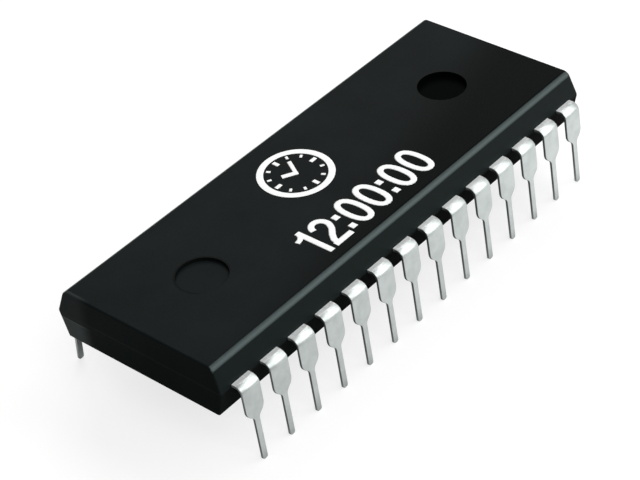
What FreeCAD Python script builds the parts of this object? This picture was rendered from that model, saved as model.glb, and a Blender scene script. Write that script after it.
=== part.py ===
import FreeCAD, Part
import math
import os
from FreeCAD import Vector

# Memory and clock chip in a wide 28-lead plastic dual in-line package.
# Millimetres. X runs along the package, lead 1 is at -X and -Y, Z points up.
# The origin is the middle of the footprint, on the plane of the lead tips.

# Lead rows
leads_per_row = 14
lead_pitch = 2.54
lead_standout = 0.82
lead_splay_deg = 4.1

# Formed lead, from the tip up
lead_thickness = 0.20
pin_width = 0.42
pin_length = 3.08
tip_chamfer = 0.10
root_radius = 0.45
hip_radius = 0.75
hip_angle_deg = 48.0
shoulder_width = 1.54
bend_inner_radius = 0.35
anchor_depth = 0.80

# Moulded body
body_length = 36.55
body_width = 13.70
upper_height = 1.73
lower_height = 1.89
standoff = 0.565
parting_band = 0.10
upper_inset_end = 0.29
upper_inset_side = 0.64
lower_inset_end = 0.12
lower_inset_side = 0.50
top_edge_radius = 0.20
bottom_edge_radius = 0.10

# Round ejector marks
mark_spacing = 24.20
mark_radius = 1.70
ring_mark_depth = 0.22
deep_mark_depth = 0.40
under_mark_depth = 0.08
mark_wall_slope = 0.02

# Die pad and tie bars
pad_length = 6.40
pad_width = 4.40
pad_downset = 0.30
tie_bar_width = 0.40
tie_bar_ramp = 0.60
tie_bar_flat = 0.80
tie_bar_setback = 0.30

# Die
die_length = 4.60
die_width = 3.40
die_thickness = 0.35
attach_thickness = 0.04
attach_border = 0.10

# Inner fingers of the lead frame
finger_width = 0.60
finger_tip_width = 0.32
finger_gap_to_pad = 0.32
finger_gap_to_tie_bar = 0.29
finger_tip_pitch_side = 1.05
finger_tip_pitch_end = 0.55
fingers_at_pad_side = 3
knee_from_wall_middle = 1.25
knee_step = 0.50

# Bond wires
wire_width = 0.045
wire_rise = 0.24
wire_landing = 0.22
bond_inset = 0.16
bond_pitch_side = 0.70
bond_pitch_end = 0.40

# Derived sizes
row_spread = body_width + 2 * lead_standout
hip_angle = math.radians(hip_angle_deg)
lead_splay = math.radians(lead_splay_deg)
hip_step = (shoulder_width - pin_width) / 2
hip_flank = (hip_step - (root_radius + hip_radius) * (1 - math.cos(hip_angle))) / math.sin(hip_angle)
seating_z = pin_length + root_radius * math.sin(hip_angle)
hip_top_z = seating_z + hip_flank * math.cos(hip_angle) + hip_radius * math.sin(hip_angle)
body_bottom_z = seating_z + standoff
parting_z = body_bottom_z + lower_height
body_top_z = parting_z + upper_height
frame_bottom_z = parting_z - lead_thickness / 2
frame_top_z = parting_z + lead_thickness / 2
pad_top_z = frame_top_z - pad_downset
pad_bottom_z = pad_top_z - lead_thickness
die_bottom_z = pad_top_z + attach_thickness
die_top_z = die_bottom_z + die_thickness


def solid_from(points, sweep):
    """Closed polygon through the points, swept into a solid."""
    loop = Part.makePolygon(points + [points[0]])
    return Part.Face(loop).extrude(sweep)


def block(length, width, z_low, z_high):
    """Plain box centred on the Z axis between two levels."""
    corner = Vector(-length / 2, -width / 2, z_low)
    return Part.makeBox(length, width, z_high - z_low, corner)


def lead_x(place):
    """X of the lead in a place along its row, counted from the -X end."""
    return (place - (leads_per_row - 1) / 2) * lead_pitch


def rectangle(z, length, width):
    """Corners of a rectangle at level z, in order round the Z axis."""
    half_x = length / 2
    half_y = width / 2
    return [
        Vector(half_x, half_y, z),
        Vector(-half_x, half_y, z),
        Vector(-half_x, -half_y, z),
        Vector(half_x, -half_y, z),
    ]


def drafted_block(levels):
    """Solid with flat walls through rectangles, each given from the bottom up as z, length and width."""
    outlines = [rectangle(*level) for level in levels]
    caps = [Part.Face(Part.makePolygon(outline + [outline[0]])) for outline in (outlines[0], outlines[-1])]
    faces = [caps[0].reversed(), caps[1]]
    for low, high in zip(outlines, outlines[1:]):
        for index, corner in enumerate(low):
            following = (index + 1) % len(low)
            wall = [corner, low[following], high[following], high[index], corner]
            faces.append(Part.Face(Part.makePolygon(wall)))
    shell = Part.makeShell(faces)
    shell.sewShape()
    return Part.makeSolid(shell)


def rim(solid, z):
    """Edges of a solid that lie at level z."""
    return [edge for edge in solid.Edges if all(abs(v.Z - z) < 1e-6 for v in edge.Vertexes)]


def ejector_mark(x, z_face, depth):
    """Tool for a round recess with a sloped wall, sunk from z_face by depth. A negative depth goes up."""
    floor_radius = mark_radius - mark_wall_slope
    mouth_radius = mark_radius + mark_wall_slope
    outline = [
        Vector(x, 0, z_face - depth),
        Vector(x + floor_radius, 0, z_face - depth),
        Vector(x + mouth_radius, 0, z_face + depth),
        Vector(x, 0, z_face + depth),
    ]
    face = Part.Face(Part.makePolygon(outline + [outline[0]]))
    return face.revolve(Vector(x, 0, 0), Vector(0, 0, 1), 360)


def body_blank():
    """The moulded block before the metal and the die are taken out of it."""
    levels = [
        (body_bottom_z, body_length - 2 * lower_inset_end, body_width - 2 * lower_inset_side),
        (parting_z - parting_band / 2, body_length, body_width),
        (parting_z + parting_band / 2, body_length, body_width),
        (body_top_z, body_length - 2 * upper_inset_end, body_width - 2 * upper_inset_side),
    ]
    blank = drafted_block(levels)
    blank = blank.makeFillet(top_edge_radius, rim(blank, body_top_z))
    blank = blank.makeFillet(bottom_edge_radius, rim(blank, body_bottom_z))
    mark_x = mark_spacing / 2
    marks = [
        ejector_mark(-mark_x, body_top_z, ring_mark_depth),
        ejector_mark(mark_x, body_top_z, deep_mark_depth),
        ejector_mark(-mark_x, body_bottom_z, -under_mark_depth),
        ejector_mark(mark_x, body_bottom_z, -under_mark_depth),
    ]
    return blank.cut(marks)


def leg_frame():
    """Where the leg's outer face leaves the bend, and the leg's downward direction, on the -Y side."""
    outer_radius = bend_inner_radius + lead_thickness
    centre = Vector(0, -row_spread / 2 + outer_radius * math.cos(lead_splay), frame_top_z - outer_radius)
    outward = Vector(0, -math.cos(lead_splay), math.sin(lead_splay))
    drop = Vector(0, -math.sin(lead_splay), -math.cos(lead_splay))
    return centre, outward, drop


def bend_section():
    """Side profile of the strip in YZ on the -Y side: flat shoulder, bend and splayed leg."""
    centre, outward, drop = leg_frame()
    up = Vector(0, 0, 1)
    halfway = (up + outward).normalize()
    outer_radius = bend_inner_radius + lead_thickness
    outer_end = centre + outward * outer_radius
    inner_end = centre + outward * bend_inner_radius
    outer_tip = outer_end + drop * (outer_end.z / math.cos(lead_splay))
    inner_tip = inner_end + drop * (inner_end.z / math.cos(lead_splay))
    root_y = -body_width / 2 + anchor_depth
    top_root = Vector(0, root_y, frame_top_z)
    bottom_root = Vector(0, root_y, frame_bottom_z)
    outer_start = centre + up * outer_radius
    inner_start = centre + up * bend_inner_radius
    edges = [
        Part.makeLine(top_root, outer_start),
        Part.Arc(outer_start, centre + halfway * outer_radius, outer_end).toShape(),
        Part.makeLine(outer_end, outer_tip),
        Part.makeLine(outer_tip, inner_tip),
        Part.makeLine(inner_tip, inner_end),
        Part.Arc(inner_end, centre + halfway * bend_inner_radius, inner_start).toShape(),
        Part.makeLine(inner_start, bottom_root),
        Part.makeLine(bottom_root, top_root),
    ]
    return Part.Face(Part.Wire(edges))


def hip_waste(side):
    """What is stamped away beside the pin, up to the full shoulder. side is 1 or -1."""
    pin_x = pin_width / 2
    root_x = pin_x + root_radius * (1 - math.cos(hip_angle))
    flank_x = root_x + hip_flank * math.sin(hip_angle)
    flank_z = seating_z + hip_flank * math.cos(hip_angle)
    shoulder_x = shoulder_width / 2
    half_turn = hip_angle / 2
    root_middle_x = pin_x + root_radius * (1 - math.cos(half_turn))
    root_middle_z = pin_length + root_radius * math.sin(half_turn)
    hip_middle_x = shoulder_x - hip_radius * (1 - math.cos(half_turn))
    hip_middle_z = hip_top_z - hip_radius * math.sin(half_turn)

    def at(x, z):
        return Vector(side * x, 0, z)

    edges = [
        Part.makeLine(at(pin_x - 2 * tip_chamfer, -tip_chamfer), at(pin_x, tip_chamfer)),
        Part.makeLine(at(pin_x, tip_chamfer), at(pin_x, pin_length)),
        Part.Arc(at(pin_x, pin_length), at(root_middle_x, root_middle_z), at(root_x, seating_z)).toShape(),
        Part.makeLine(at(root_x, seating_z), at(flank_x, flank_z)),
        Part.Arc(at(flank_x, flank_z), at(hip_middle_x, hip_middle_z), at(shoulder_x, hip_top_z)).toShape(),
        Part.makeLine(at(shoulder_x, hip_top_z), at(shoulder_width, hip_top_z)),
        Part.makeLine(at(shoulder_width, hip_top_z), at(shoulder_width, -tip_chamfer)),
        Part.makeLine(at(shoulder_width, -tip_chamfer), at(pin_x - 2 * tip_chamfer, -tip_chamfer)),
    ]
    outline = Part.Face(Part.Wire(edges))
    outline.translate(Vector(0, -lead_thickness * 2, 0))
    return outline.extrude(Vector(0, lead_thickness * 4, 0))


def formed_lead():
    """The shoulder, bend, plate and pin of one lead at x = 0 on the -Y side, without its inner finger."""
    strip = bend_section().extrude(Vector(shoulder_width, 0, 0))
    strip.translate(Vector(-shoulder_width / 2, 0, 0))
    centre, outward, drop = leg_frame()
    outer_end = centre + outward * (bend_inner_radius + lead_thickness)
    tip = outer_end + drop * (outer_end.z / math.cos(lead_splay))
    waste = [hip_waste(1), hip_waste(-1)]
    for piece in waste:
        piece.rotate(Vector(0, 0, 0), Vector(1, 0, 0), -lead_splay_deg)
        piece.translate(tip)
    return strip.cut(waste)


def ribbon(points, widths):
    """Flat strip of the lead frame's thickness along the points, as wide at each as its width says."""
    left = []
    right = []
    for index, point in enumerate(points):
        before = points[max(index - 1, 0)]
        after = points[min(index + 1, len(points) - 1)]
        into = (point - before) if index else (after - point)
        out = (after - point) if index < len(points) - 1 else into
        into = into.normalize()
        out = out.normalize()
        across = Vector(-(into.y + out.y), into.x + out.x, 0).normalize()
        stretch = 1 / max(across.dot(Vector(-into.y, into.x, 0)), 0.5)
        left.append(point + across * (widths[index] / 2 * stretch))
        right.append(point - across * (widths[index] / 2 * stretch))
    return solid_from(left + right[::-1], Vector(0, 0, lead_thickness))


def finger_tip(order):
    """Tip of the finger on the +X, -Y quarter, counted from the middle of the row."""
    pad_side = -(pad_width / 2 + finger_gap_to_pad)
    pad_end = pad_length / 2 + finger_gap_to_pad
    if order < fingers_at_pad_side:
        return Vector((order + 0.5) * finger_tip_pitch_side, pad_side, 0)
    innermost = tie_bar_width / 2 + finger_gap_to_tie_bar + finger_tip_width / 2
    from_tie_bar = leads_per_row // 2 - 1 - order
    return Vector(pad_end, -(innermost + from_tie_bar * finger_tip_pitch_end), 0)


def bond_pad(order):
    """Place of a wire's ball on the die for the same finger, in the same quarter."""
    if order < fingers_at_pad_side:
        return Vector((order + 0.5) * bond_pitch_side, -(die_width / 2 - bond_inset), 0)
    from_middle = leads_per_row // 2 - 1 - order
    return Vector(die_length / 2 - bond_inset, -(from_middle + 0.5) * bond_pitch_end, 0)


def row_order(place):
    """How far a place is from the middle of its row, and on which side of it."""
    half = leads_per_row // 2
    if place < half:
        return half - 1 - place, -1
    return place - half, 1


def finger(place):
    """The part of a lead inside the body, from the anchor to the tip, for the -Y row."""
    order, side = row_order(place)
    x = lead_x(place)
    tip = finger_tip(order)
    root_y = -body_width / 2 + anchor_depth
    knee_y = -body_width / 2 + knee_from_wall_middle + order * knee_step
    points = [
        Vector(x, root_y, frame_bottom_z),
        Vector(x, knee_y, frame_bottom_z),
        Vector(side * tip.x, tip.y, frame_bottom_z),
    ]
    return ribbon(points, [finger_width, finger_width, finger_tip_width])


def to_row(shape, row):
    """A shape of the -Y row, or for row 1 the same turned half a turn to the +Y row."""
    placed = shape.copy()
    if row:
        placed.rotate(Vector(0, 0, 0), Vector(0, 0, 1), 180)
    return placed


def lead(place, row, outside):
    """One whole lead. place counts along its row, and the row of index 1 runs back from +X to -X."""
    legs = outside.copy()
    legs.translate(Vector(lead_x(place), 0, 0))
    whole = legs.fuse(finger(place)).removeSplitter()
    return to_row(whole, row)


def die_pad():
    """Centre pad with a tie bar at each end, which rises to the level of the fingers."""
    pad = block(pad_length, pad_width, pad_bottom_z, pad_top_z)
    start = pad_length / 2
    ramp_start = start + tie_bar_flat
    ramp_end = ramp_start + tie_bar_ramp
    end = body_length / 2 - tie_bar_setback
    top = [(0, pad_top_z), (ramp_start, pad_top_z), (ramp_end, frame_top_z), (end, frame_top_z)]
    low_face = [(x, z - lead_thickness) for x, z in reversed(top)]
    outline = [Vector(x, -tie_bar_width / 2, z) for x, z in top + low_face]
    bar = solid_from(outline, Vector(0, tie_bar_width, 0))
    return pad.multiFuse([bar, to_row(bar, 1)]).removeSplitter()


def die_attach():
    """Layer between the pad and the die, a little wider than the die."""
    border = 2 * attach_border
    return block(die_length + border, die_width + border, pad_top_z, die_bottom_z)


def silicon_die():
    """The chip itself."""
    return block(die_length, die_width, die_bottom_z, die_top_z)


def bond_wire(place):
    """Wire from the die up over its crest and down to the finger, for the -Y row. Its section is a square."""
    order, side = row_order(place)
    pad = bond_pad(order)
    tip = finger_tip(order)
    knee = Vector(abs(lead_x(place)), -body_width / 2 + knee_from_wall_middle + order * knee_step, 0)
    landing = tip + (knee - tip).normalize() * wire_landing
    start = Vector(side * pad.x, pad.y, die_top_z)
    end = Vector(side * landing.x, landing.y, frame_top_z)
    crest = start + Vector(0, 0, wire_rise)
    reach = end - start
    below = end + (end - crest).normalize() * wire_width
    path = Part.makePolygon([start, crest, below])
    along = Vector(reach.x, reach.y, 0).normalize() * (wire_width / 2)
    across = Vector(-along.y, along.x, 0)
    corners = [start + along + across, start - along + across, start - along - across, start + along - across]
    section = Part.makePolygon(corners + [corners[0]])
    tube = path.makePipeShell([section], True, False, 1)
    return tube.cut(block(body_length, body_width, pad_bottom_z, frame_top_z))


def bond_wires():
    """All the wires, each a solid of its own."""
    wires = []
    for row in range(2):
        for place in range(leads_per_row):
            wires.append(to_row(bond_wire(place), row))
    return wires


def main():
    """Builds every piece and writes one file for each."""
    os.makedirs("parts", exist_ok=True)
    outside = formed_lead()
    pieces = {}
    for row in range(2):
        for place in range(leads_per_row):
            number = row * leads_per_row + place + 1
            pieces["lead_%02d" % number] = lead(place, row, outside)
    pieces["die_pad"] = die_pad()
    pieces["die_attach"] = die_attach()
    pieces["silicon_die"] = silicon_die()
    wires = bond_wires()
    inserts = list(pieces.values()) + wires
    pieces["bond_wires"] = Part.makeCompound(wires)
    pieces["package_body"] = body_blank().cut(inserts)
    for name, shape in pieces.items():
        solids = shape.Solids
        print("%-14s %3d solids %9.3f mm3 %4d faces" % (name, len(solids), shape.Volume, len(shape.Faces)))
        written = solids[0] if len(solids) == 1 else Part.makeCompound(solids)
        written.exportStep("parts/%s.step" % name)


main()
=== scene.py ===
import logging
import math
from collections import Counter
from dataclasses import dataclass, field
from enum import Enum
from typing import Any, Callable, Dict, List, Optional, Tuple

import bpy
from mathutils import Matrix, Vector


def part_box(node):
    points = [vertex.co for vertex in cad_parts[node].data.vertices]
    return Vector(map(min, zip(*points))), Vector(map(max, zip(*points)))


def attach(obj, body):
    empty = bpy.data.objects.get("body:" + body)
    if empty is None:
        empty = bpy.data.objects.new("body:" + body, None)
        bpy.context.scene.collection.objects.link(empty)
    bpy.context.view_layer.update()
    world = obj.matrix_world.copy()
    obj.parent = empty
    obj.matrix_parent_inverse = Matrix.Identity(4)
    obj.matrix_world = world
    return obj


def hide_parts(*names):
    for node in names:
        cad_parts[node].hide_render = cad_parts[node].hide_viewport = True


# A clock and memory chip in a wide plastic dual in-line package.
# Metres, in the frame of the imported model: +X along the package, +Z up, the tips of the pins on z = 0.

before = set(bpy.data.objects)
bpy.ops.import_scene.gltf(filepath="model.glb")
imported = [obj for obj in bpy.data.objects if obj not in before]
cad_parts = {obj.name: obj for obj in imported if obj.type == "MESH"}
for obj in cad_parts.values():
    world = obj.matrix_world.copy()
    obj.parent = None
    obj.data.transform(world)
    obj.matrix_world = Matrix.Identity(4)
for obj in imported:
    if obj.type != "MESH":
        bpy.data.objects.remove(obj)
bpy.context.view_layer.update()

log = logging.getLogger("clock_chip")
logging.basicConfig(level=logging.INFO, format="%(name)s: %(message)s")

Colour = Tuple[float, float, float, float]
Span = Tuple[float, float]
Tree = bpy.types.NodeTree
Socket = bpy.types.NodeSocket
Piece = bpy.types.Object
Material = bpy.types.Material

MERGE_MM = 0.0005
FLAT_DEGREES = 0.5


def mm(value: float) -> float:
    """Returns millimetres as metres."""
    return value / 1000.0


def per_mm(count: float) -> float:
    """Returns a pattern's scale for so many repeats a millimetre, on coordinates in metres."""
    return count * 1000.0


def linear(hex_colour: str) -> Colour:
    """Turns an sRGB colour into Blender's linear one.

    Args:
        hex_colour: six hex digits after a hash sign.

    Returns:
        Red, green, blue and an alpha of 1.
    """
    digits = hex_colour.lstrip("#")
    channels = [int(digits[i:i + 2], 16) / 255.0 for i in (0, 2, 4)]
    straight = [c / 12.92 if c <= 0.04045 else ((c + 0.055) / 1.055) ** 2.4 for c in channels]
    return (straight[0], straight[1], straight[2], 1.0)


def add_node(tree: Tree, kind: str, settings: Optional[Dict[str, Any]] = None,
             inputs: Optional[Dict[Any, Any]] = None) -> bpy.types.Node:
    """Adds a node to a tree, sets it and links it.

    Args:
        tree: the node tree of a material or of the world.
        kind: the node's type name.
        settings: its properties by name.
        inputs: its sockets by name or number, each with a value or with the socket to link from.

    Returns:
        The new node.
    """
    node = tree.nodes.new(kind)
    for name, value in (settings or {}).items():
        setattr(node, name, value)
    for key, value in (inputs or {}).items():
        if isinstance(value, Socket):
            tree.links.new(value, node.inputs[key])
        else:
            node.inputs[key].default_value = value
    return node


def new_material(name: str) -> Tuple[Material, Tree, bpy.types.Node]:
    """Makes an empty node material.

    Args:
        name: the material's name.

    Returns:
        The material, its tree and its output node.
    """
    material = bpy.data.materials.new(name)
    material.use_nodes = True
    tree = material.node_tree
    tree.nodes.clear()
    return material, tree, add_node(tree, "ShaderNodeOutputMaterial")


@dataclass(frozen=True)
class MouldedEpoxy:
    """Black epoxy moulding compound with silica filler.

    Spark-eroded faces of the tool leave a fine matt grain, and the filler shows as faint grey clouds.
    Painted shade darkens the compound towards +X and -Y. The tool's long walls are smoother,
    its radii are polished, so the edges shine, and the ejector pins are ground; the far mark's floor is drawn
    near black, as painted shade in its deep recess.
    The real grain is about 0.03 mm across, and it is drawn as coarse as it needs to be to show.
    """

    name: str
    compound: str
    cloud: str
    roughness_low: float
    roughness_high: float
    specular: float
    grain_depth_mm: float
    # painted_shade: the colour of the painted shade towards +X and -Y and round the near pin mark.
    painted_shade: str
    tint: str = "#ffffff"
    flank_roughness: float = 0.0
    # Filler and grain: the size of each, and the part of the noise's range that is used.
    cloud_mm: float = 5.0
    cloud_spread: Span = (0.35, 0.70)
    grain_mm: float = 0.11
    grain_spread: Span = (0.3, 0.7)
    grain_strength: float = 0.3
    # Painted shade: how much X counts beside -Y, and where along that way the painted shade darkens the
    # compound.
    shade_slant: float = 0.25
    shade_span_mm: Span = (1.2, 6.2)
    # Gate: at the near end, low at the +Y corner. The runner was torn off there and left a paler patch; the
    # thin pale line along its top is a painted highlight on its lip.
    gate_end_mm: float = -17.9
    gate_aside_mm: Span = (3.9, 5.3)
    gate_top_mm: Span = (5.46, 5.56)
    above_gate: float = 0.25
    torn: str = "#4b5150"
    # lip_glint: the colour of the painted highlight along the lip.
    lip_glint: str = "#565c5a"
    lip_glint_half_mm: float = 0.035
    # Parting line: the flash was trimmed there and left the rough compound paler.
    parting_mm: float = 5.87
    parting_half_mm: float = 0.05
    flash: str = "#262b2a"
    # Near ejector pin: a thin line of painted shade round its rim, which fades towards -Y.
    pin_along_mm: float = -12.10
    pin_line_mm: float = 1.75
    pin_line_half_mm: float = 0.09
    pin_rim_shade_aside_mm: Span = (-1.4, -0.8)
    pin_rim_shade_strength: float = 0.55
    # Long radius: the way that its crest faces in Y and Z, and how far out its flanks and its crest lie.
    crest: Span = (0.695, 0.719)
    crest_mm: Span = (9.616, 9.681)

    def _painted_shade_slope(self, tree: Tree, axes: Any) -> Socket:
        """Masks the painted shade, towards +X and -Y.

        Args:
            tree: the material's tree.
            axes: the sockets of X, Y and Z.

        Returns:
            The mask.
        """
        along = add_node(tree, "ShaderNodeMath", {"operation": "MULTIPLY"}, {
            0: axes["X"], 1: self.shade_slant})
        shade_way = add_node(tree, "ShaderNodeMath", {"operation": "SUBTRACT"}, {
            0: along.outputs[0], 1: axes["Y"]})
        shaded = add_node(tree, "ShaderNodeMapRange", {"interpolation_type": "SMOOTHSTEP"}, {
            "Value": shade_way.outputs[0], "From Min": mm(self.shade_span_mm[0]), "From Max": mm(self.shade_span_mm[1])})
        return shaded.outputs[0]

    def _gate(self, tree: Tree, axes: Any) -> Tuple[Socket, Socket]:
        """Masks the patch that the torn runner left, and the painted highlight along its lip.

        Args:
            tree: the material's tree.
            axes: the sockets of X, Y and Z.

        Returns:
            The patch's mask and the painted highlight's.
        """
        on_end = add_node(tree, "ShaderNodeMath", {"operation": "LESS_THAN"}, {
            0: axes["X"], 1: mm(self.gate_end_mm)})
        beside = add_node(tree, "ShaderNodeMapRange", {"interpolation_type": "SMOOTHSTEP"}, {
            "Value": axes["Y"], "From Min": mm(self.gate_aside_mm[0]), "From Max": mm(self.gate_aside_mm[1])})
        below = add_node(tree, "ShaderNodeMapRange", {"interpolation_type": "SMOOTHSTEP"}, {
            "Value": axes["Z"], "From Min": mm(self.gate_top_mm[0]), "From Max": mm(self.gate_top_mm[1]),
            "To Min": 1.0, "To Max": self.above_gate})
        at_lip_glint = add_node(tree, "ShaderNodeMath", {"operation": "COMPARE"}, {
            0: axes["Z"], 1: mm(self.gate_top_mm[0]), 2: mm(self.lip_glint_half_mm)})
        at_gate = add_node(tree, "ShaderNodeMath", {"operation": "MULTIPLY"}, {
            0: on_end.outputs[0], 1: beside.outputs[0]})
        patch, lip_glint = [add_node(tree, "ShaderNodeMath", {"operation": "MULTIPLY"}, {
            0: at_gate.outputs[0], 1: part.outputs[0]}).outputs[0] for part in (below, at_lip_glint)]
        return patch, lip_glint

    def _flash(self, tree: Tree, axes: Any, cloud: Socket) -> Socket:
        """Masks the parting line, unevenly.

        Args:
            tree: the material's tree.
            axes: the sockets of X, Y and Z.
            cloud: the filler's noise.

        Returns:
            The mask.
        """
        on_line = add_node(tree, "ShaderNodeMath", {"operation": "COMPARE"}, {
            0: axes["Z"], 1: mm(self.parting_mm), 2: mm(self.parting_half_mm)})
        return add_node(tree, "ShaderNodeMath", {"operation": "MULTIPLY"}, {
            0: on_line.outputs[0], 1: cloud}).outputs[0]

    def _pin_rim_shade(self, tree: Tree, place: Socket, axes: Any) -> Socket:
        """Masks the painted shade round the rim of the near ejector pin.

        Args:
            tree: the material's tree.
            place: the coordinates.
            axes: the sockets of X, Y and Z.

        Returns:
            The mask.
        """
        flat = add_node(tree, "ShaderNodeVectorMath", {"operation": "MULTIPLY"}, {
            0: place, 1: (1.0, 1.0, 0.0)})
        reach = add_node(tree, "ShaderNodeVectorMath", {"operation": "DISTANCE"}, {
            0: flat.outputs[0], 1: (mm(self.pin_along_mm), 0.0, 0.0)})
        on_ring = add_node(tree, "ShaderNodeMath", {"operation": "COMPARE"}, {
            0: reach.outputs["Value"], 1: mm(self.pin_line_mm), 2: mm(self.pin_line_half_mm)})
        kept = add_node(tree, "ShaderNodeMapRange", {"interpolation_type": "SMOOTHSTEP"}, {
            "Value": axes["Y"], "From Min": mm(self.pin_rim_shade_aside_mm[0]),
            "From Max": mm(self.pin_rim_shade_aside_mm[1]), "To Max": self.pin_rim_shade_strength})
        return add_node(tree, "ShaderNodeMath", {"operation": "MULTIPLY"}, {
            0: on_ring.outputs[0], 1: kept.outputs[0]}).outputs[0]

    def _polish(self, tree: Tree, axes: Any, rough: Socket) -> Socket:
        """Lets the polish fade from the crest of the long radius into the faces on both sides.

        Args:
            tree: the material's tree.
            axes: the sockets of X, Y and Z.
            rough: the roughness along the crest.

        Returns:
            The roughness all over.
        """
        aside = add_node(tree, "ShaderNodeMath", {"operation": "ABSOLUTE"}, {0: axes["Y"]})
        raised = add_node(tree, "ShaderNodeMath", {"operation": "MULTIPLY"}, {0: axes["Z"], 1: self.crest[1]})
        outward = add_node(tree, "ShaderNodeMath", {"operation": "MULTIPLY_ADD"}, {
            0: aside.outputs[0], 1: self.crest[0], 2: raised.outputs[0]})
        flank = add_node(tree, "ShaderNodeMapRange", inputs={
            "Value": outward.outputs[0], "From Min": mm(self.crest_mm[0]), "From Max": mm(self.crest_mm[1]),
            "To Min": self.flank_roughness, "To Max": self.roughness_low})
        return add_node(tree, "ShaderNodeMath", {"operation": "MAXIMUM"}, {
            0: rough, 1: flank.outputs[0]}).outputs[0]

    def build(self) -> Material:
        """Makes the compound's material.

        Returns:
            The material.
        """
        material, tree, output = new_material(self.name)
        place = add_node(tree, "ShaderNodeTexCoord").outputs["Object"]
        axes = add_node(tree, "ShaderNodeSeparateXYZ", inputs={0: place}).outputs
        cloud = add_node(tree, "ShaderNodeTexNoise", {"noise_dimensions": "3D"}, {
            "Vector": place, "Scale": per_mm(1 / self.cloud_mm),
            "Detail": 5.0, "Roughness": 0.55}).outputs["Fac"]
        grain = add_node(tree, "ShaderNodeTexNoise", {"noise_dimensions": "3D"}, {
            "Vector": place, "Scale": per_mm(1 / self.grain_mm),
            "Detail": 2.0, "Roughness": 0.6}).outputs["Fac"]
        tone = add_node(tree, "ShaderNodeMapRange", inputs={
            "Value": cloud, "From Min": self.cloud_spread[0], "From Max": self.cloud_spread[1]})
        colour = add_node(tree, "ShaderNodeMix", {"data_type": "RGBA"}, {
            0: tone.outputs[0], 6: linear(self.compound), 7: linear(self.cloud)})
        patch, lip_glint = self._gate(tree, axes)
        # In order: painted shade towards +X and -Y, the torn gate patch, a painted highlight along its lip,
        # the flash, and painted shade round the near pin mark.
        for mask, paint in ((self._painted_shade_slope(tree, axes), self.painted_shade), (patch, self.torn), (lip_glint, self.lip_glint),
                            (self._flash(tree, axes, cloud), self.flash),
                            (self._pin_rim_shade(tree, place, axes), self.painted_shade)):
            colour = add_node(tree, "ShaderNodeMix", {"data_type": "RGBA"}, {
                0: mask, 6: colour.outputs[2], 7: linear(paint)})
        rough = add_node(tree, "ShaderNodeMapRange", inputs={
            "Value": grain, "From Min": self.grain_spread[0], "From Max": self.grain_spread[1],
            "To Min": self.roughness_low, "To Max": self.roughness_high}).outputs[0]
        if self.flank_roughness:
            rough = self._polish(tree, axes, rough)
        bump = add_node(tree, "ShaderNodeBump", inputs={
            "Height": grain, "Strength": self.grain_strength, "Distance": mm(self.grain_depth_mm)})
        shader = add_node(tree, "ShaderNodeBsdfPrincipled", inputs={
            "Base Color": colour.outputs[2], "Roughness": rough, "Normal": bump.outputs[0],
            "IOR": 1.5, "Specular IOR Level": self.specular, "Specular Tint": linear(self.tint)})
        tree.links.new(shader.outputs[0], output.inputs["Surface"])
        return material


class Compound(Enum):
    """How the compound's faces differ, by the part of the tool that formed them."""

    MATT_FACE = MouldedEpoxy(
        "epoxy_compound_spark_eroded", "#121616", "#161b1b", 0.55, 0.68, 0.03, 0.020, "#040606")
    SMOOTH_WALL = MouldedEpoxy(
        "epoxy_compound_drawn_wall", "#070b0b", "#090d0d", 0.34, 0.40, 0.15, 0.006, "#060a0a", tint="#ddfffd")
    POLISHED_RADIUS = MouldedEpoxy(
        "epoxy_compound_polished_radius", "#0d1212", "#111616", 0.34, 0.38, 0.74, 0.004, "#0a0f0f",
        tint="#e4fffd", flank_roughness=0.90)
    # The far mark's floor is ground; its near-black colour is painted shade for the deep recess.
    PIN_FLOOR = MouldedEpoxy(
        "epoxy_compound_ground_ejector_pin_painted_shade", "#030404", "#040505", 0.55, 0.65, 0.006, 0.004, "#030404")


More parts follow.
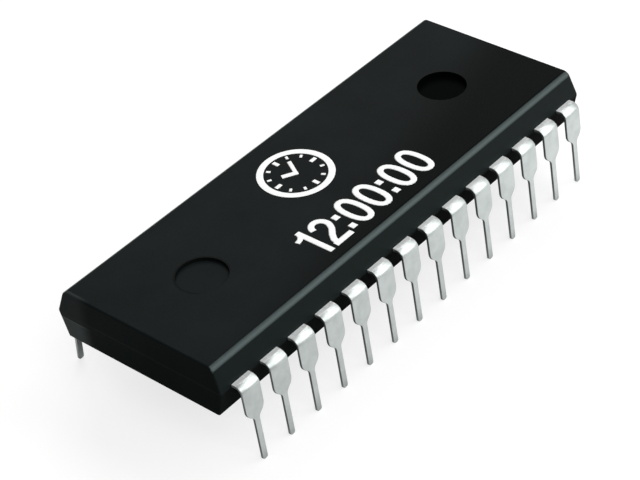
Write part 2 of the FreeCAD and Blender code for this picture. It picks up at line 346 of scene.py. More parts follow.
@dataclass(frozen=True)
class TinnedLead:
    """Copper alloy strip, stamped, tin plated and formed.

    The plating is satin and nearly even. Rolling leaves faint lines along the strip. The flat of the
    shoulder keeps the matt bloom of the bath and is near white, partly bloom and partly painted light;
    the bend and the leg were burnished by the forming tool, and the stamped edges are duller than the
    faces. Real rolling lines are about 0.01 mm wide, and they are drawn as coarse as they need to be to show.
    """

    name: str = "tin_plate_on_stamped_copper_alloy"
    plate: str = "#ced5d3"
    cloudy: str = "#c3cac8"
    # root: the near-white colour of the shoulder's flat, partly the bath's matt bloom and partly painted
    # light.
    root: str = "#f4f6f5"
    edge: str = "#a4a9a8"
    # Rolling lines and clouds: the size of each, and the part of the noise's range that is used.
    line_mm: float = 0.06
    line_length_mm: float = 2.5
    line_spread: Span = (0.3, 0.7)
    line_depth_mm: float = 0.01
    line_strength: float = 0.06
    cloud_mm: float = 0.9
    cloud_spread: Span = (0.35, 0.60)
    # Flat of the shoulder: where its bloom and painted light end, how streaked it is, and where the burnish
    # sets in.
    flat_end_mm: Span = (7.10, 7.34)
    streak_spread: Span = (0.30, 0.60)
    streak_least: float = 0.6
    burnish_mm: Span = (6.85, 7.22)
    flat_roughness: float = 0.74
    roughness: Span = (0.34, 0.44)
    # Stamped edges: how far a face has to look along X to be one.
    edge_facing: Span = (0.6, 0.95)

    def build(self) -> Material:
        """Makes the plating's material.

        Returns:
            The material.
        """
        material, tree, output = new_material(self.name)
        coords = add_node(tree, "ShaderNodeTexCoord")
        place = coords.outputs["Object"]
        axes = add_node(tree, "ShaderNodeSeparateXYZ", inputs={0: place})
        lengthways = per_mm(1 / self.line_length_mm)
        stretched = add_node(tree, "ShaderNodeMapping", {"vector_type": "POINT"}, {
            "Vector": place, "Scale": (per_mm(1 / self.line_mm), lengthways, lengthways)})
        lines = add_node(tree, "ShaderNodeTexNoise", inputs={
            "Vector": stretched.outputs[0], "Scale": 1.0, "Detail": 3.0, "Roughness": 0.6})
        cloud = add_node(tree, "ShaderNodeTexNoise", inputs={
            "Vector": place, "Scale": per_mm(1 / self.cloud_mm), "Detail": 4.0, "Roughness": 0.6})
        tone = add_node(tree, "ShaderNodeMapRange", inputs={
            "Value": cloud.outputs["Fac"],
            "From Min": self.cloud_spread[0], "From Max": self.cloud_spread[1]})
        base = add_node(tree, "ShaderNodeMix", {"data_type": "RGBA"}, {
            0: tone.outputs[0], 6: linear(self.cloudy), 7: linear(self.plate)})
        # The flat of the shoulder is as plated and painted paler than the rest, partly with painted light,
        # with faint streaks, gone by the bend.
        across = add_node(tree, "ShaderNodeMath", {"operation": "ABSOLUTE"}, {0: axes.outputs["Y"]})
        out_from_wall = add_node(tree, "ShaderNodeMapRange", {"interpolation_type": "SMOOTHSTEP"}, {
            "Value": across.outputs[0],
            "From Min": mm(self.flat_end_mm[0]), "From Max": mm(self.flat_end_mm[1]),
            "To Min": 1.0, "To Max": 0.0})
        streaks = add_node(tree, "ShaderNodeMapRange", inputs={
            "Value": lines.outputs["Fac"],
            "From Min": self.streak_spread[0], "From Max": self.streak_spread[1],
            "To Min": self.streak_least, "To Max": 1.0})
        streaked = add_node(tree, "ShaderNodeMath", {"operation": "MULTIPLY"}, {
            0: out_from_wall.outputs[0], 1: streaks.outputs[0]})
        bloom_and_painted_light = add_node(tree, "ShaderNodeMix", {"data_type": "RGBA"}, {
            0: streaked.outputs[0], 6: base.outputs[2], 7: linear(self.root)})
        facing = add_node(tree, "ShaderNodeSeparateXYZ", inputs={0: coords.outputs["Normal"]})
        sideways = add_node(tree, "ShaderNodeMath", {"operation": "ABSOLUTE"}, {0: facing.outputs["X"]})
        stamped = add_node(tree, "ShaderNodeMapRange", inputs={
            "Value": sideways.outputs[0], "From Min": self.edge_facing[0], "From Max": self.edge_facing[1]})
        colour = add_node(tree, "ShaderNodeMix", {"data_type": "RGBA"}, {
            0: stamped.outputs[0], 6: bloom_and_painted_light.outputs[2], 7: linear(self.edge)})
        burnished = add_node(tree, "ShaderNodeMapRange", inputs={
            "Value": lines.outputs["Fac"], "From Min": self.line_spread[0], "From Max": self.line_spread[1],
            "To Min": self.roughness[0], "To Max": self.roughness[1]})
        # The forming tool burnished the bend and the leg, and left the flat of the shoulder as plated.
        past_flat = add_node(tree, "ShaderNodeMapRange", {"interpolation_type": "SMOOTHSTEP"}, {
            "Value": across.outputs[0],
            "From Min": mm(self.burnish_mm[0]), "From Max": mm(self.burnish_mm[1])})
        rough = add_node(tree, "ShaderNodeMix", {"data_type": "FLOAT"}, {
            0: past_flat.outputs[0], 2: self.flat_roughness, 3: burnished.outputs[0]})
        bump = add_node(tree, "ShaderNodeBump", inputs={
            "Height": lines.outputs["Fac"],
            "Strength": self.line_strength, "Distance": mm(self.line_depth_mm)})
        shader = add_node(tree, "ShaderNodeBsdfPrincipled", inputs={
            "Base Color": colour.outputs[2], "Roughness": rough.outputs[0], "Normal": bump.outputs[0],
            "Metallic": 1.0})
        tree.links.new(shader.outputs[0], output.inputs["Surface"])
        return material


@dataclass(frozen=True)
class Metal:
    """A plain bare metal with fine mottling, for what lies inside the compound."""

    name: str
    light: str
    dark: str
    roughness: float
    mottle_mm: float

    def build(self) -> Material:
        """Makes the metal's material.

        Returns:
            The material.
        """
        material, tree, output = new_material(self.name)
        place = add_node(tree, "ShaderNodeTexCoord").outputs["Object"]
        mottle = add_node(tree, "ShaderNodeTexNoise", inputs={
            "Vector": place, "Scale": per_mm(1 / self.mottle_mm), "Detail": 3.0})
        colour = add_node(tree, "ShaderNodeMix", {"data_type": "RGBA"}, {
            0: mottle.outputs["Fac"], 6: linear(self.dark), 7: linear(self.light)})
        shader = add_node(tree, "ShaderNodeBsdfPrincipled", inputs={
            "Base Color": colour.outputs[2], "Roughness": self.roughness, "Metallic": 1.0})
        tree.links.new(shader.outputs[0], output.inputs["Surface"])
        return material


@dataclass(frozen=True)
class PrintInk:
    """White pad-printed ink, cured on the matt compound, a little thin in places."""

    name: str = "white_pad_printing_ink"
    full: str = "#f6f7f6"
    thin: str = "#e6e8e7"
    mottle_mm: float = 0.25
    roughness: float = 0.55

    def build(self) -> Material:
        """Makes the ink's material.

        Returns:
            The material.
        """
        material, tree, output = new_material(self.name)
        place = add_node(tree, "ShaderNodeTexCoord").outputs["Object"]
        mottle = add_node(tree, "ShaderNodeTexNoise", inputs={
            "Vector": place, "Scale": per_mm(1 / self.mottle_mm), "Detail": 3.0, "Roughness": 0.6})
        colour = add_node(tree, "ShaderNodeMix", {"data_type": "RGBA"}, {
            0: mottle.outputs["Fac"], 6: linear(self.thin), 7: linear(self.full)})
        shader = add_node(tree, "ShaderNodeBsdfPrincipled", inputs={
            "Base Color": colour.outputs[2], "Roughness": self.roughness, "Specular IOR Level": 0.3})
        tree.links.new(shader.outputs[0], output.inputs["Surface"])
        return material


class InsidePiece(Enum):
    """The nodes inside the compound, each with its finish."""

    PAD = ("die_pad", Metal("rolled_copper_alloy", "#c99a76", "#b07f5c", 0.35, 0.4))
    ATTACH = ("die_attach", Metal("silver_filled_adhesive", "#b9b9b6", "#8f8f8c", 0.6, 0.1))
    DIE = ("silicon_die", Metal("passivated_silicon", "#5b6270", "#454a57", 0.2, 0.3))
    WIRES = ("bond_wires", Metal("drawn_gold", "#e6bf6a", "#d2a650", 0.25, 0.05))


def dress(node: str, material: Material) -> None:
    """Gives a carried-over node its finish.

    Args:
        node: the node's name in the frame.
        material: what all of its slots get.
    """
    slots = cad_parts[node].data.materials
    if not slots:
        slots.append(material)
    for index in range(len(slots)):
        slots[index] = material


def deselect_all() -> None:
    """Leaves nothing selected."""
    if bpy.context.mode != "OBJECT":
        bpy.ops.object.mode_set(mode="OBJECT")
    bpy.ops.object.select_all(action="DESELECT")


def pick(piece: Piece, kind: str, chosen: Callable[[Any], bool]) -> None:
    """Selects some faces or edges of the active piece and leaves it in edit mode.

    Args:
        piece: the active object, in object mode.
        kind: FACE or EDGE.
        chosen: says of each one whether it is selected.
    """
    bpy.ops.object.mode_set(mode="EDIT")
    bpy.ops.mesh.select_mode(type=kind)
    bpy.ops.mesh.select_all(action="DESELECT")
    bpy.ops.object.mode_set(mode="OBJECT")
    for element in piece.data.polygons if kind == "FACE" else piece.data.edges:
        element.select = chosen(element)
    bpy.ops.object.mode_set(mode="EDIT")


def settle(name: str, material: Material) -> Piece:
    """Bakes the active object's place into its mesh, and names and dresses it.

    Args:
        name: the piece's name.
        material: its finish.

    Returns:
        The object, at the origin, unturned and unscaled.
    """
    piece = bpy.context.view_layer.objects.active
    bpy.ops.object.transform_apply(location=True, rotation=True, scale=True)
    piece.name = name
    piece.data.name = name
    piece.data.materials.clear()
    piece.data.materials.append(material)
    return piece


def join(pieces: List[Piece]) -> Piece:
    """Joins mesh objects into the first of them.

    Args:
        pieces: the objects.

    Returns:
        The joined object, active.
    """
    deselect_all()
    for piece in pieces:
        piece.select_set(True)
    bpy.context.view_layer.objects.active = pieces[0]
    bpy.ops.object.join()
    return bpy.context.view_layer.objects.active


def working_copy(node: str, name: str) -> Piece:
    """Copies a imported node's mesh to work on, merged, with its flat faces whole again.

    Args:
        node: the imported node's name.
        name: the new piece's name.

    Returns:
        The new piece, active and alone in being selected.
    """
    deselect_all()
    piece = bpy.data.objects.new(name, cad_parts[node].data.copy())
    piece.data.name = name
    bpy.context.scene.collection.objects.link(piece)
    bpy.context.view_layer.objects.active = piece
    piece.select_set(True)
    bpy.ops.mesh.customdata_custom_splitnormals_clear()
    bpy.ops.object.mode_set(mode="EDIT")
    bpy.ops.mesh.select_all(action="SELECT")
    bpy.ops.mesh.remove_doubles(threshold=mm(MERGE_MM))
    bpy.ops.mesh.dissolve_limited(angle_limit=math.radians(FLAT_DEGREES))
    bpy.ops.object.mode_set(mode="OBJECT")
    return piece


def smooth(piece: Piece, degrees: float) -> None:
    """Smooths the faces that meet at less than an angle, and keeps the flat faces flat.

    Args:
        piece: the active object.
        degrees: the angle above which an edge stays crisp.
    """
    bpy.ops.object.shade_smooth_by_angle(angle=math.radians(degrees))
    bpy.ops.object.modifier_add(type="WEIGHTED_NORMAL")
    weighted = piece.modifiers[-1]
    weighted.keep_sharp = True
    weighted.weight = 100
    bpy.ops.object.modifier_apply(modifier=weighted.name)


def hang(piece: Piece, node: Optional[str] = None) -> None:
    """Tells the frame what a piece is.

    Args:
        piece: the finished piece.
        node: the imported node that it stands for, if any.
    """
    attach(piece, "root")
    if node:
        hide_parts(node)
    log.info("%s: %d faces", piece.name, len(piece.data.polygons))


@dataclass
class PackageBody:
    """The moulded body: two drafted halves on a parting band, rounded edges and ejector pin marks."""

    node: str = "package_body"
    band_mm: float = 0.10
    parting_mm: float = 5.8694
    # Draft: how far the top and the bottom come in along X and Y.
    upper_inset_mm: Span = (0.12, 0.64)
    lower_inset_mm: Span = (0.06, 0.46)
    lower_extra_mm: float = 0.10
    # Roundings, each as the width that it takes of the faces beside it.
    top_edge_mm: float = 0.345
    top_edge_segments: int = 12
    bottom_edge_mm: float = 0.10
    bottom_edge_segments: int = 3
    end_rim_mm: float = 0.13
    end_rim_segments: int = 4
    # Ejector marks: the near and the far one on the top, and the two underneath.
    mark_offset_mm: float = 12.10
    mark_radius_mm: float = 1.70
    mark_depths_mm: Span = (0.22, 0.40)
    under_mark_mm: float = 0.08
    mark_facets: int = 96
    crisp_degrees: float = 30.0
    # What tells the faces apart: how far each looks up, and how far from the middle a long side starts.
    level_facing: float = 0.999
    end_facing: float = 0.9
    wall_facing: Span = (0.2, 0.37)
    radius_facing: Span = (0.37, 0.945)
    side_from_mm: float = 3.0
    slack_mm: float = 0.02
    low: Vector = field(init=False)
    high: Vector = field(init=False)
    size: Vector = field(init=False)

    def _half(self, piece: Piece, up: float, height: float, inset: Span) -> None:
        """Draws one half of the body out of the parting band, narrowing as the tool's draft does.

        Args:
            piece: the band, in object mode.
            up: 1 for the upper half and -1 for the lower one.
            height: the half's height beyond the band, in metres.
            inset: how far each side comes in, in millimetres along X and Y.
        """
        pick(piece, "FACE", lambda face: face.normal.z * up > self.level_facing)
        bpy.ops.mesh.extrude_region_move(TRANSFORM_OT_translate={"value": (0, 0, up * height)})
        narrower = [1 - 2 * mm(inset[axis]) / self.size[axis] for axis in (0, 1)]
        bpy.ops.transform.resize(value=(narrower[0], narrower[1], 1.0))
        bpy.ops.object.mode_set(mode="OBJECT")

    def _round(self, piece: Piece, chosen: Callable[[bpy.types.MeshEdge], bool], offset: float,
               segments: int) -> None:
        """Rounds some edges.

        Args:
            piece: the active object, in object mode.
            chosen: says of an edge whether it is rounded.
            offset: how far the rounding reaches over the faces, in millimetres.
            segments: its facets.
        """
        pick(piece, "EDGE", chosen)
        bpy.ops.mesh.bevel(offset=mm(offset), segments=segments, affect="EDGES")
        bpy.ops.object.mode_set(mode="OBJECT")

    def _round_edges(self, piece: Piece) -> None:
        """Rounds the long edges first and then the rim of each end, which runs over them.

        Args:
            piece: the drafted body, in object mode.
        """
        for level, offset, segments in ((self.high.z, self.top_edge_mm, self.top_edge_segments),
                                        (self.low.z, self.bottom_edge_mm, self.bottom_edge_segments)):
            places = [vertex.co.copy() for vertex in piece.data.vertices]
            self._round(piece, lambda edge: all(abs(places[index].z - level) < mm(self.slack_mm)
                                                for index in edge.vertices)
                        and places[edge.vertices[0]].x * places[edge.vertices[1]].x < 0, offset, segments)
        on_ends = Counter(key for face in piece.data.polygons if abs(face.normal.x) > self.end_facing
                          for key in face.edge_keys)
        self._round(piece, lambda edge: on_ends[edge.key] == 1, self.end_rim_mm, self.end_rim_segments)

    def _sink_mark(self, piece: Piece, x: float, face: float, depth: float) -> None:
        """Sinks the round mark of an ejector pin.

        Args:
            piece: the body.
            x: the mark's place along the package, in millimetres.
            face: the height of the face that it is sunk from, in metres.
            depth: its depth in millimetres.
        """
        deselect_all()
        bpy.ops.mesh.primitive_cylinder_add(vertices=self.mark_facets, radius=mm(self.mark_radius_mm),
                                            depth=2 * mm(depth), location=(mm(x), 0, face))
        pin = bpy.context.view_layer.objects.active
        deselect_all()
        bpy.context.view_layer.objects.active = piece
        piece.select_set(True)
        bpy.ops.object.modifier_add(type="BOOLEAN")
        sunk = piece.modifiers[-1]
        sunk.operation = "DIFFERENCE"
        sunk.solver = "EXACT"
        sunk.object = pin
        bpy.ops.object.modifier_apply(modifier=sunk.name)
        bpy.data.objects.remove(pin, do_unlink=True)

    def _finish_of(self, face: bpy.types.MeshPolygon) -> Compound:
        """Names the finish of one face, from its place and its direction.

        Args:
            face: a face of the finished body.

        Returns:
            The finish.
        """
        place, normal = face.center, face.normal
        from_mark = math.hypot(place.x - mm(self.mark_offset_mm), place.y)
        sunk = self.high.z - place.z
        if from_mark < mm(self.mark_radius_mm + self.slack_mm) and (
                mm(self.slack_mm) < sunk < mm(self.mark_depths_mm[1] + self.slack_mm)):
            return Compound.PIN_FLOOR
        if abs(normal.y) > abs(normal.x) and abs(place.y) > mm(self.side_from_mm):
            if self.radius_facing[0] < abs(normal.z) < self.radius_facing[1]:
                return Compound.POLISHED_RADIUS
            if self.wall_facing[0] < normal.z < self.wall_facing[1]:
                return Compound.SMOOTH_WALL
        return Compound.MATT_FACE

    def build(self) -> None:
        """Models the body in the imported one's box."""
        low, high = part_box(self.node)
        self.low, self.high = Vector(low), Vector(high)
        self.low.z -= mm(self.lower_extra_mm)
        self.size = self.high - self.low
        band, parting = mm(self.band_mm), mm(self.parting_mm)
        deselect_all()
        bpy.ops.mesh.primitive_cube_add(size=1, location=(0, 0, parting),
                                        scale=(self.size.x, self.size.y, band))
        bpy.ops.object.transform_apply(location=True, rotation=True, scale=True)
        piece = bpy.context.view_layer.objects.active
        self._half(piece, 1, self.high.z - parting - band / 2, self.upper_inset_mm)
        self._half(piece, -1, parting - band / 2 - self.low.z, self.lower_inset_mm)
        self._round_edges(piece)
        # The marks need truly flat faces, and the roundings leave them a hair uneven.
        for up in (1, -1):
            pick(piece, "FACE", lambda face: face.normal.z * up > self.level_facing)
            bpy.ops.transform.resize(value=(1.0, 1.0, 0.0))
            bpy.ops.object.mode_set(mode="OBJECT")
        for side, depth in zip((-1, 1), self.mark_depths_mm):
            self._sink_mark(piece, side * self.mark_offset_mm, self.high.z, depth)
            self._sink_mark(piece, side * self.mark_offset_mm, self.low.z, self.under_mark_mm)
        order = list(Compound)
        piece = settle("moulded_body", order[0].value.build())
        for finish in order[1:]:
            piece.data.materials.append(finish.value.build())
        for face in piece.data.polygons:
            face.material_index = order.index(self._finish_of(face))
        smooth(piece, self.crisp_degrees)
        hang(piece, self.node)


@dataclass
class LeadRows:
    """The two rows of leads, with the arrises that stamping and plating leave rounded."""

    per_row: int = 14
    arris_mm: float = 0.03
    arris_segments: int = 2
    stamped_degrees: float = 35.0
    crisp_degrees: float = 50.0
    finish: TinnedLead = field(default_factory=TinnedLead)

    def _lead(self, number: int, material: Material) -> None:
        """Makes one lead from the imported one.

        Args:
            number: its pin number.
            material: the plating.
        """
        node = f"lead_{number:02d}"
        piece = working_copy(node, f"plated_{node}")
        bpy.ops.object.mode_set(mode="EDIT")
        bpy.ops.mesh.select_mode(type="EDGE")
        bpy.ops.mesh.select_all(action="DESELECT")
        bpy.ops.mesh.edges_select_sharp(sharpness=math.radians(self.stamped_degrees))
        bpy.ops.mesh.bevel(offset=mm(self.arris_mm), segments=self.arris_segments, affect="EDGES",
                           clamp_overlap=True)
        bpy.ops.object.mode_set(mode="OBJECT")
        piece.data.materials.clear()
        piece.data.materials.append(material)
        smooth(piece, self.crisp_degrees)
        hang(piece, node)

    def build(self) -> None:
        """Makes every lead."""
        material = self.finish.build()
        for number in range(1, 2 * self.per_row + 1):
            self._lead(number, material)


@dataclass
class DieAssembly:
    """What lies inside the compound: the pad, the adhesive, the die and the wires."""

    pieces: Tuple[InsidePiece, ...] = tuple(InsidePiece)

    def build(self) -> None:
        """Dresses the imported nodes, which stay as they are."""
        for piece in self.pieces:
            node, finish = piece.value
            dress(node, finish.build())
            log.info("%s: %s", node, finish.name)


@dataclass(frozen=True)
class Stroke:
    """One stroke of the pen: its width and the points it runs through, all in millimetres."""

    width: float
    points: Tuple[Span, ...]
    closed: bool = False


def arc(centre: Span, half_width: float, half_height: float, start: float, end: float,
        steps: int, squareness: float = 1.0) -> Tuple[Span, ...]:
    """Samples part of an oval.

    Args:
        centre: its middle.
        half_width: half its width.
        half_height: half its height.
        start: the first angle in degrees.
        end: the last angle in degrees.
        steps: the number of points after the first.
        squareness: below 1 for an oval with fuller shoulders.

    Returns:
        The points in order.
    """
    points = []
    for step in range(steps + 1):
        turn = math.radians(start + (end - start) * step / steps)
        across, along = math.cos(turn), math.sin(turn)
        points.append((centre[0] + half_width * math.copysign(abs(across) ** squareness, across),
                       centre[1] + half_height * math.copysign(abs(along) ** squareness, along)))
    return tuple(points)


# The reading's characters, 3 mm high: how wide each is and the strokes it is written with.
PEN = 0.45
GLYPHS: Dict[str, Tuple[float, Tuple[Stroke, ...]]] = {
    "0": (1.62, (Stroke(PEN, arc((0.81, 1.5), 0.585, 1.275, 0, 345, 23, 0.85), True),)),
    "1": (1.20, (Stroke(PEN, ((0.90, 0.0), (0.90, 3.0))),
                 Stroke(0.38, ((0.16, 2.30), (0.52, 2.38), (0.76, 2.58), (0.90, 2.90))))),
    "2": (1.62, (Stroke(PEN, arc((0.81, 2.13), 0.585, 0.645, 172, -28, 12)
                        + ((1.14, 1.50), (0.66, 1.05), (0.36, 0.66), (0.25, 0.22))),
                 Stroke(PEN, ((0.02, 0.225), (1.60, 0.225))))),
    ":": (0.50, (Stroke(0.48, ((0.25, 0.30), (0.25, 0.78))), Stroke(0.48, ((0.25, 1.72), (0.25, 2.20))))),
}


@dataclass
class PrintedMarks:
    """Plain printed marks on the top: a clock dial and a clock's reading."""

    film_mm: float = 0.012
    bevel_steps: int = 2
    dial_centre_mm: Span = (-0.95, 1.95)
    dial_radius_mm: float = 2.60
    ring_mm: float = 0.46
    ring_facets: int = 96
    ring_side_facets: int = 12
    # Dial: length and width of the long and short hour strokes, and length, width and degrees of the hands.
    stroke_gap_mm: float = 0.16
    long_stroke_mm: Span = (0.50, 0.30)
    short_stroke_mm: Span = (0.30, 0.20)
    hand_tail_mm: float = 0.15
    hands: Tuple[Tuple[float, float, float], ...] = ((0.98, 0.40, 150), (1.38, 0.30, 60))
    reading: str = "12:00:00"
    reading_low_left_mm: Span = (-6.62, -5.20)
    gap_mm: float = 0.21
    finish: PrintInk = field(default_factory=PrintInk)

    def _stroke(self, stroke: Stroke, shift: Span, top: float) -> Piece:
        """Lays one stroke of ink on the top.

        Args:
            stroke: the stroke.
            shift: where its zero point lies on the top, in millimetres.
            top: the height of the top, in metres.

        Returns:
            The stroke's mesh object.
        """
        deselect_all()
        bpy.ops.curve.primitive_bezier_curve_add(location=(0, 0, 0))
        line = bpy.context.view_layer.objects.active
        line.data.splines.clear()
        spline = line.data.splines.new("POLY")
        spline.points.add(len(stroke.points) - 1)
        for point, (x, y) in zip(spline.points, stroke.points):
            point.co = (mm(x + shift[0]), mm(y + shift[1]), 0.0, 1.0)
        spline.use_cyclic_u = stroke.closed
        line.data.bevel_depth = mm(stroke.width / 2)
        line.data.bevel_resolution = self.bevel_steps
        line.data.use_fill_caps = True
        line.data.twist_mode = "Z_UP"
        bpy.ops.object.convert(target="MESH")
        ribbon = bpy.context.view_layer.objects.active
        ribbon.scale.z = self.film_mm / (stroke.width / 2)
        ribbon.location.z = top
        bpy.ops.object.transform_apply(location=True, rotation=True, scale=True)
        return ribbon

    def _ring(self, top: float) -> Piece:
        """Makes the dial's ring, a torus pressed down to the thickness of the ink.

        Args:
            top: the height of the top, in metres.

        Returns:
            The ring's mesh object.
        """
        deselect_all()
        x, y = self.dial_centre_mm
        bpy.ops.mesh.primitive_torus_add(
            location=(mm(x), mm(y), top),
            major_segments=self.ring_facets, minor_segments=self.ring_side_facets,
            major_radius=mm(self.dial_radius_mm - self.ring_mm / 2), minor_radius=mm(self.ring_mm / 2))
        ring = bpy.context.view_layer.objects.active
        ring.scale.z = self.film_mm / (self.ring_mm / 2)
        bpy.ops.object.transform_apply(location=True, rotation=True, scale=True)
        return ring

    def _dial(self, top: float, material: Material) -> Piece:
        """Makes the dial: a ring, twelve strokes and two hands.

        Args:
            top: the height of the top, in metres.
            material: the ink.

        Returns:
            The dial.
        """
        parts = [self._ring(top)]
        inner = self.dial_radius_mm - self.ring_mm - self.stroke_gap_mm
        spokes = []
        for hour in range(12):
            length, width = self.long_stroke_mm if hour % 3 == 0 else self.short_stroke_mm
            spokes.append((inner, inner - length, width, 30 * hour))
        spokes += [(-self.hand_tail_mm, length, width, degrees) for length, width, degrees in self.hands]
        for start, end, width, degrees in spokes:
            turn = math.radians(degrees)
            ends = tuple((reach * math.cos(turn), reach * math.sin(turn)) for reach in (start, end))
            parts.append(self._stroke(Stroke(width, ends), self.dial_centre_mm, top))
        join(parts)
        return settle("printed_dial", material)

    def _reading(self, top: float, material: Material) -> Piece:
        """Makes the clock's reading, one numeral after another.

        Args:
            top: the height of the top, in metres.
            material: the ink.

        Returns:
            The reading.
        """
        parts = []
        x, y = self.reading_low_left_mm
        for character in self.reading:
            width, strokes = GLYPHS[character]
            parts += [self._stroke(stroke, (x, y), top) for stroke in strokes]
            x += width + self.gap_mm
        join(parts)
        return settle("printed_reading", material)

    def build(self) -> None:
        """Makes both marks and hangs them on the part."""
        material = self.finish.build()
        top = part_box("package_body")[1][2]
        for piece in (self._dial(top, material), self._reading(top, material)):
            hang(piece)


@dataclass(frozen=True)
class Softbox:
    """A square area lamp that faces the part, with its way, distance and size in metres, and its watts."""

    name: str
    towards: Tuple[float, float, float]
    distance: float
    size: float
    power: float

    def build(self) -> None:
        """Adds the lamp."""
        lamp = bpy.data.lights.new(self.name, "AREA")
        lamp.shape = "SQUARE"
        lamp.size = self.size
        lamp.energy = self.power
        holder = bpy.data.objects.new(self.name, lamp)
        bpy.context.scene.collection.objects.link(holder)
        way = Vector(self.towards).normalized()
        holder.location = way * self.distance
        holder.rotation_euler = way.to_track_quat("Z", "Y").to_euler()


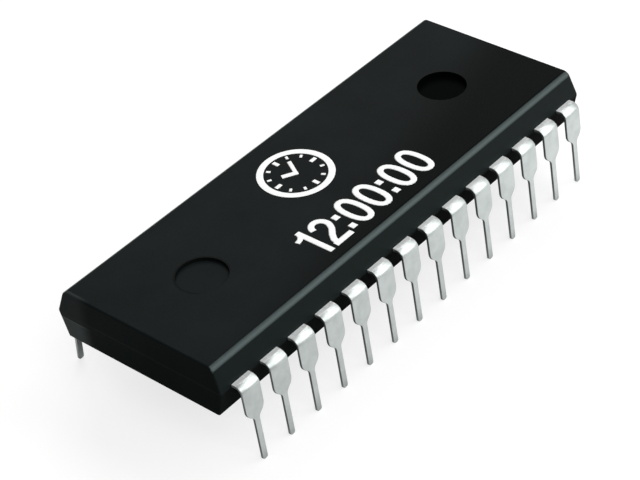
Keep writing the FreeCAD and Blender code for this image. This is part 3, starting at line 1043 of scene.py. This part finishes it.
@dataclass
class Studio:
    """The floor, the lamps, the world and the camera."""

    focal_px: float = 2069.1
    image_px: float = 640.0
    sensor_mm: float = 36.0
    camera_mm: Tuple[float, float, float] = (-77.718, -74.263, 87.694)
    looks: Tuple[float, float, float] = (0.56125, 0.54637, -0.62167)
    up: Tuple[float, float, float] = (0.52264, 0.34845, 0.77809)
    clip: Span = (0.001, 20.0)
    # Floor for the camera: it keeps the shadow near the part and whitens further out.
    floor_size: float = 6.0
    floor_albedo: float = 0.28
    floor_glow: float = 0.75
    sweep_mm: Span = (90.0, 500.0)
    # Floor in mirrors: a painted shadow under the part, a pale card round it that is brighter at its far end,
    # dim beyond.
    mirrored_glow: float = 0.62
    mirrored_far: float = 0.20
    shade_half_mm: Span = (24.0, 7.0)
    shade_fade_mm: float = 2.4
    card_reach_mm: Span = (10.0, 26.0)
    card_length_mm: Span = (-12.0, 22.0)
    card_levels: Span = (0.90, 1.28)
    world_white: float = 1.0
    world_level: float = 0.30
    lamps: Tuple[Softbox, ...] = (
        Softbox("overhead_softbox", (0.56, -0.15, 0.82), 0.45, 0.22, 0.36),
        Softbox("front_softbox", (0.56, -0.55, 0.62), 0.45, 0.28, 0.38),
        Softbox("low_front_softbox", (0.56, -0.77, 0.31), 0.45, 0.24, 0.46),
        Softbox("front_fill", (-0.20, -0.66, 0.73), 0.60, 0.40, 1.50),
        Softbox("back_panel", (0.56, 0.55, 0.62), 0.45, 0.24, 0.86),
    )

    def _mirrored(self, tree: Tree) -> Socket:
        """Works out the floor's level in mirrors: a painted shadow under the part, brightest round it, dim
        far off.

        Args:
            tree: the floor's node tree.

        Returns:
            The socket with the level.
        """
        place = add_node(tree, "ShaderNodeTexCoord").outputs["Object"]
        axes = add_node(tree, "ShaderNodeSeparateXYZ", inputs={0: place})
        beyond = []
        for axis, half in zip("XY", self.shade_half_mm):
            size = add_node(tree, "ShaderNodeMath", {"operation": "ABSOLUTE"}, {0: axes.outputs[axis]})
            beyond.append(add_node(tree, "ShaderNodeMath", {"operation": "SUBTRACT"}, {
                0: size.outputs[0], 1: mm(half)}).outputs[0])
        outside = add_node(tree, "ShaderNodeMath", {"operation": "MAXIMUM"}, {0: beyond[0], 1: beyond[1]})
        # Painted shadow of the part, seen only in mirrors.
        shade = add_node(tree, "ShaderNodeMapRange", {"interpolation_type": "SMOOTHSTEP"}, {
            "Value": outside.outputs[0], "From Min": 0.0, "From Max": mm(self.shade_fade_mm)})
        reach = add_node(tree, "ShaderNodeMapRange", {"interpolation_type": "SMOOTHSTEP"}, {
            "Value": outside.outputs[0],
            "From Min": mm(self.card_reach_mm[0]), "From Max": mm(self.card_reach_mm[1]),
            "To Min": self.mirrored_glow, "To Max": self.mirrored_far})
        ramp = add_node(tree, "ShaderNodeMapRange", inputs={
            "Value": axes.outputs["X"],
            "From Min": mm(self.card_length_mm[0]), "From Max": mm(self.card_length_mm[1]),
            "To Min": self.card_levels[0], "To Max": self.card_levels[1]})
        card = add_node(tree, "ShaderNodeMath", {"operation": "MULTIPLY"}, {
            0: shade.outputs[0], 1: reach.outputs[0]})
        return add_node(tree, "ShaderNodeMath", {"operation": "MULTIPLY"}, {
            0: card.outputs[0], 1: ramp.outputs[0]}).outputs[0]

    def _floor(self) -> None:
        """Lays the floor. It glows for camera and glossy rays, so it is white there and keeps its shadow."""
        deselect_all()
        bpy.ops.mesh.primitive_plane_add(size=self.floor_size, location=(0, 0, 0))
        material, tree, output = new_material("white_studio_sweep")
        path = add_node(tree, "ShaderNodeLightPath")
        mirrored = add_node(tree, "ShaderNodeMath", {"operation": "MAXIMUM"}, {
            0: path.outputs["Is Glossy Ray"], 1: path.outputs["Is Transmission Ray"]})
        mirror_level = add_node(tree, "ShaderNodeMath", {"operation": "MULTIPLY"}, {
            0: mirrored.outputs[0], 1: self._mirrored(tree)})
        away = add_node(tree, "ShaderNodeVectorMath", {"operation": "LENGTH"}, {
            0: add_node(tree, "ShaderNodeTexCoord").outputs["Object"]})
        seen = add_node(tree, "ShaderNodeMapRange", inputs={
            "Value": away.outputs["Value"],
            "From Min": mm(self.sweep_mm[0]), "From Max": mm(self.sweep_mm[1]),
            "To Min": self.floor_glow, "To Max": self.world_white})
        level = add_node(tree, "ShaderNodeMath", {"operation": "MULTIPLY_ADD"}, {
            0: path.outputs["Is Camera Ray"], 1: seen.outputs[0], 2: mirror_level.outputs[0]})
        white = add_node(tree, "ShaderNodeEmission", inputs={
            "Color": (1, 1, 1, 1), "Strength": level.outputs[0]})
        shade = add_node(tree, "ShaderNodeBsdfDiffuse", inputs={
            "Color": (self.floor_albedo, self.floor_albedo, self.floor_albedo, 1)})
        both = add_node(tree, "ShaderNodeAddShader", inputs={0: white.outputs[0], 1: shade.outputs[0]})
        tree.links.new(both.outputs[0], output.inputs["Surface"])
        settle("studio_floor", material)

    def _world(self) -> None:
        """Makes the surroundings white where they are seen, and soft grey as light."""
        world = bpy.data.worlds.new("studio_surroundings")
        world.use_nodes = True
        tree = world.node_tree
        tree.nodes.clear()
        path = add_node(tree, "ShaderNodeLightPath")
        level = add_node(tree, "ShaderNodeMix", {"data_type": "FLOAT"}, {
            0: path.outputs["Is Camera Ray"], 2: self.world_level, 3: self.world_white})
        sky = add_node(tree, "ShaderNodeBackground", inputs={
            "Color": (1, 1, 1, 1), "Strength": level.outputs[0]})
        add_node(tree, "ShaderNodeOutputWorld", inputs={"Surface": sky.outputs[0]})
        bpy.context.scene.world = world

    def _camera(self) -> None:
        """Stands the camera where the photograph was taken from."""
        lens = bpy.data.cameras.new("photo_camera")
        lens.sensor_fit = "HORIZONTAL"
        lens.sensor_width = self.sensor_mm
        lens.lens = self.focal_px / self.image_px * self.sensor_mm
        lens.clip_start, lens.clip_end = self.clip
        holder = bpy.data.objects.new("photo_camera", lens)
        bpy.context.scene.collection.objects.link(holder)
        ahead = Vector(self.looks).normalized()
        right = ahead.cross(Vector(self.up)).normalized()
        above = right.cross(ahead)
        turn = Matrix((right, above, -ahead)).transposed().to_4x4()
        place = Vector([mm(value) for value in self.camera_mm])
        holder.matrix_world = Matrix.Translation(place) @ turn
        bpy.context.scene.camera = holder

    def build(self) -> None:
        """Sets up the whole studio."""
        self._floor()
        for lamp in self.lamps:
            lamp.build()
        self._world()
        self._camera()
        bpy.context.scene.view_settings.view_transform = "Standard"
        log.info("studio: %d lamps", len(self.lamps))


def main() -> None:
    """Builds the scene, one sub-assembly after another."""
    PackageBody().build()
    LeadRows().build()
    DieAssembly().build()
    PrintedMarks().build()
    Studio().build()


if __name__ == "__main__":
    main()
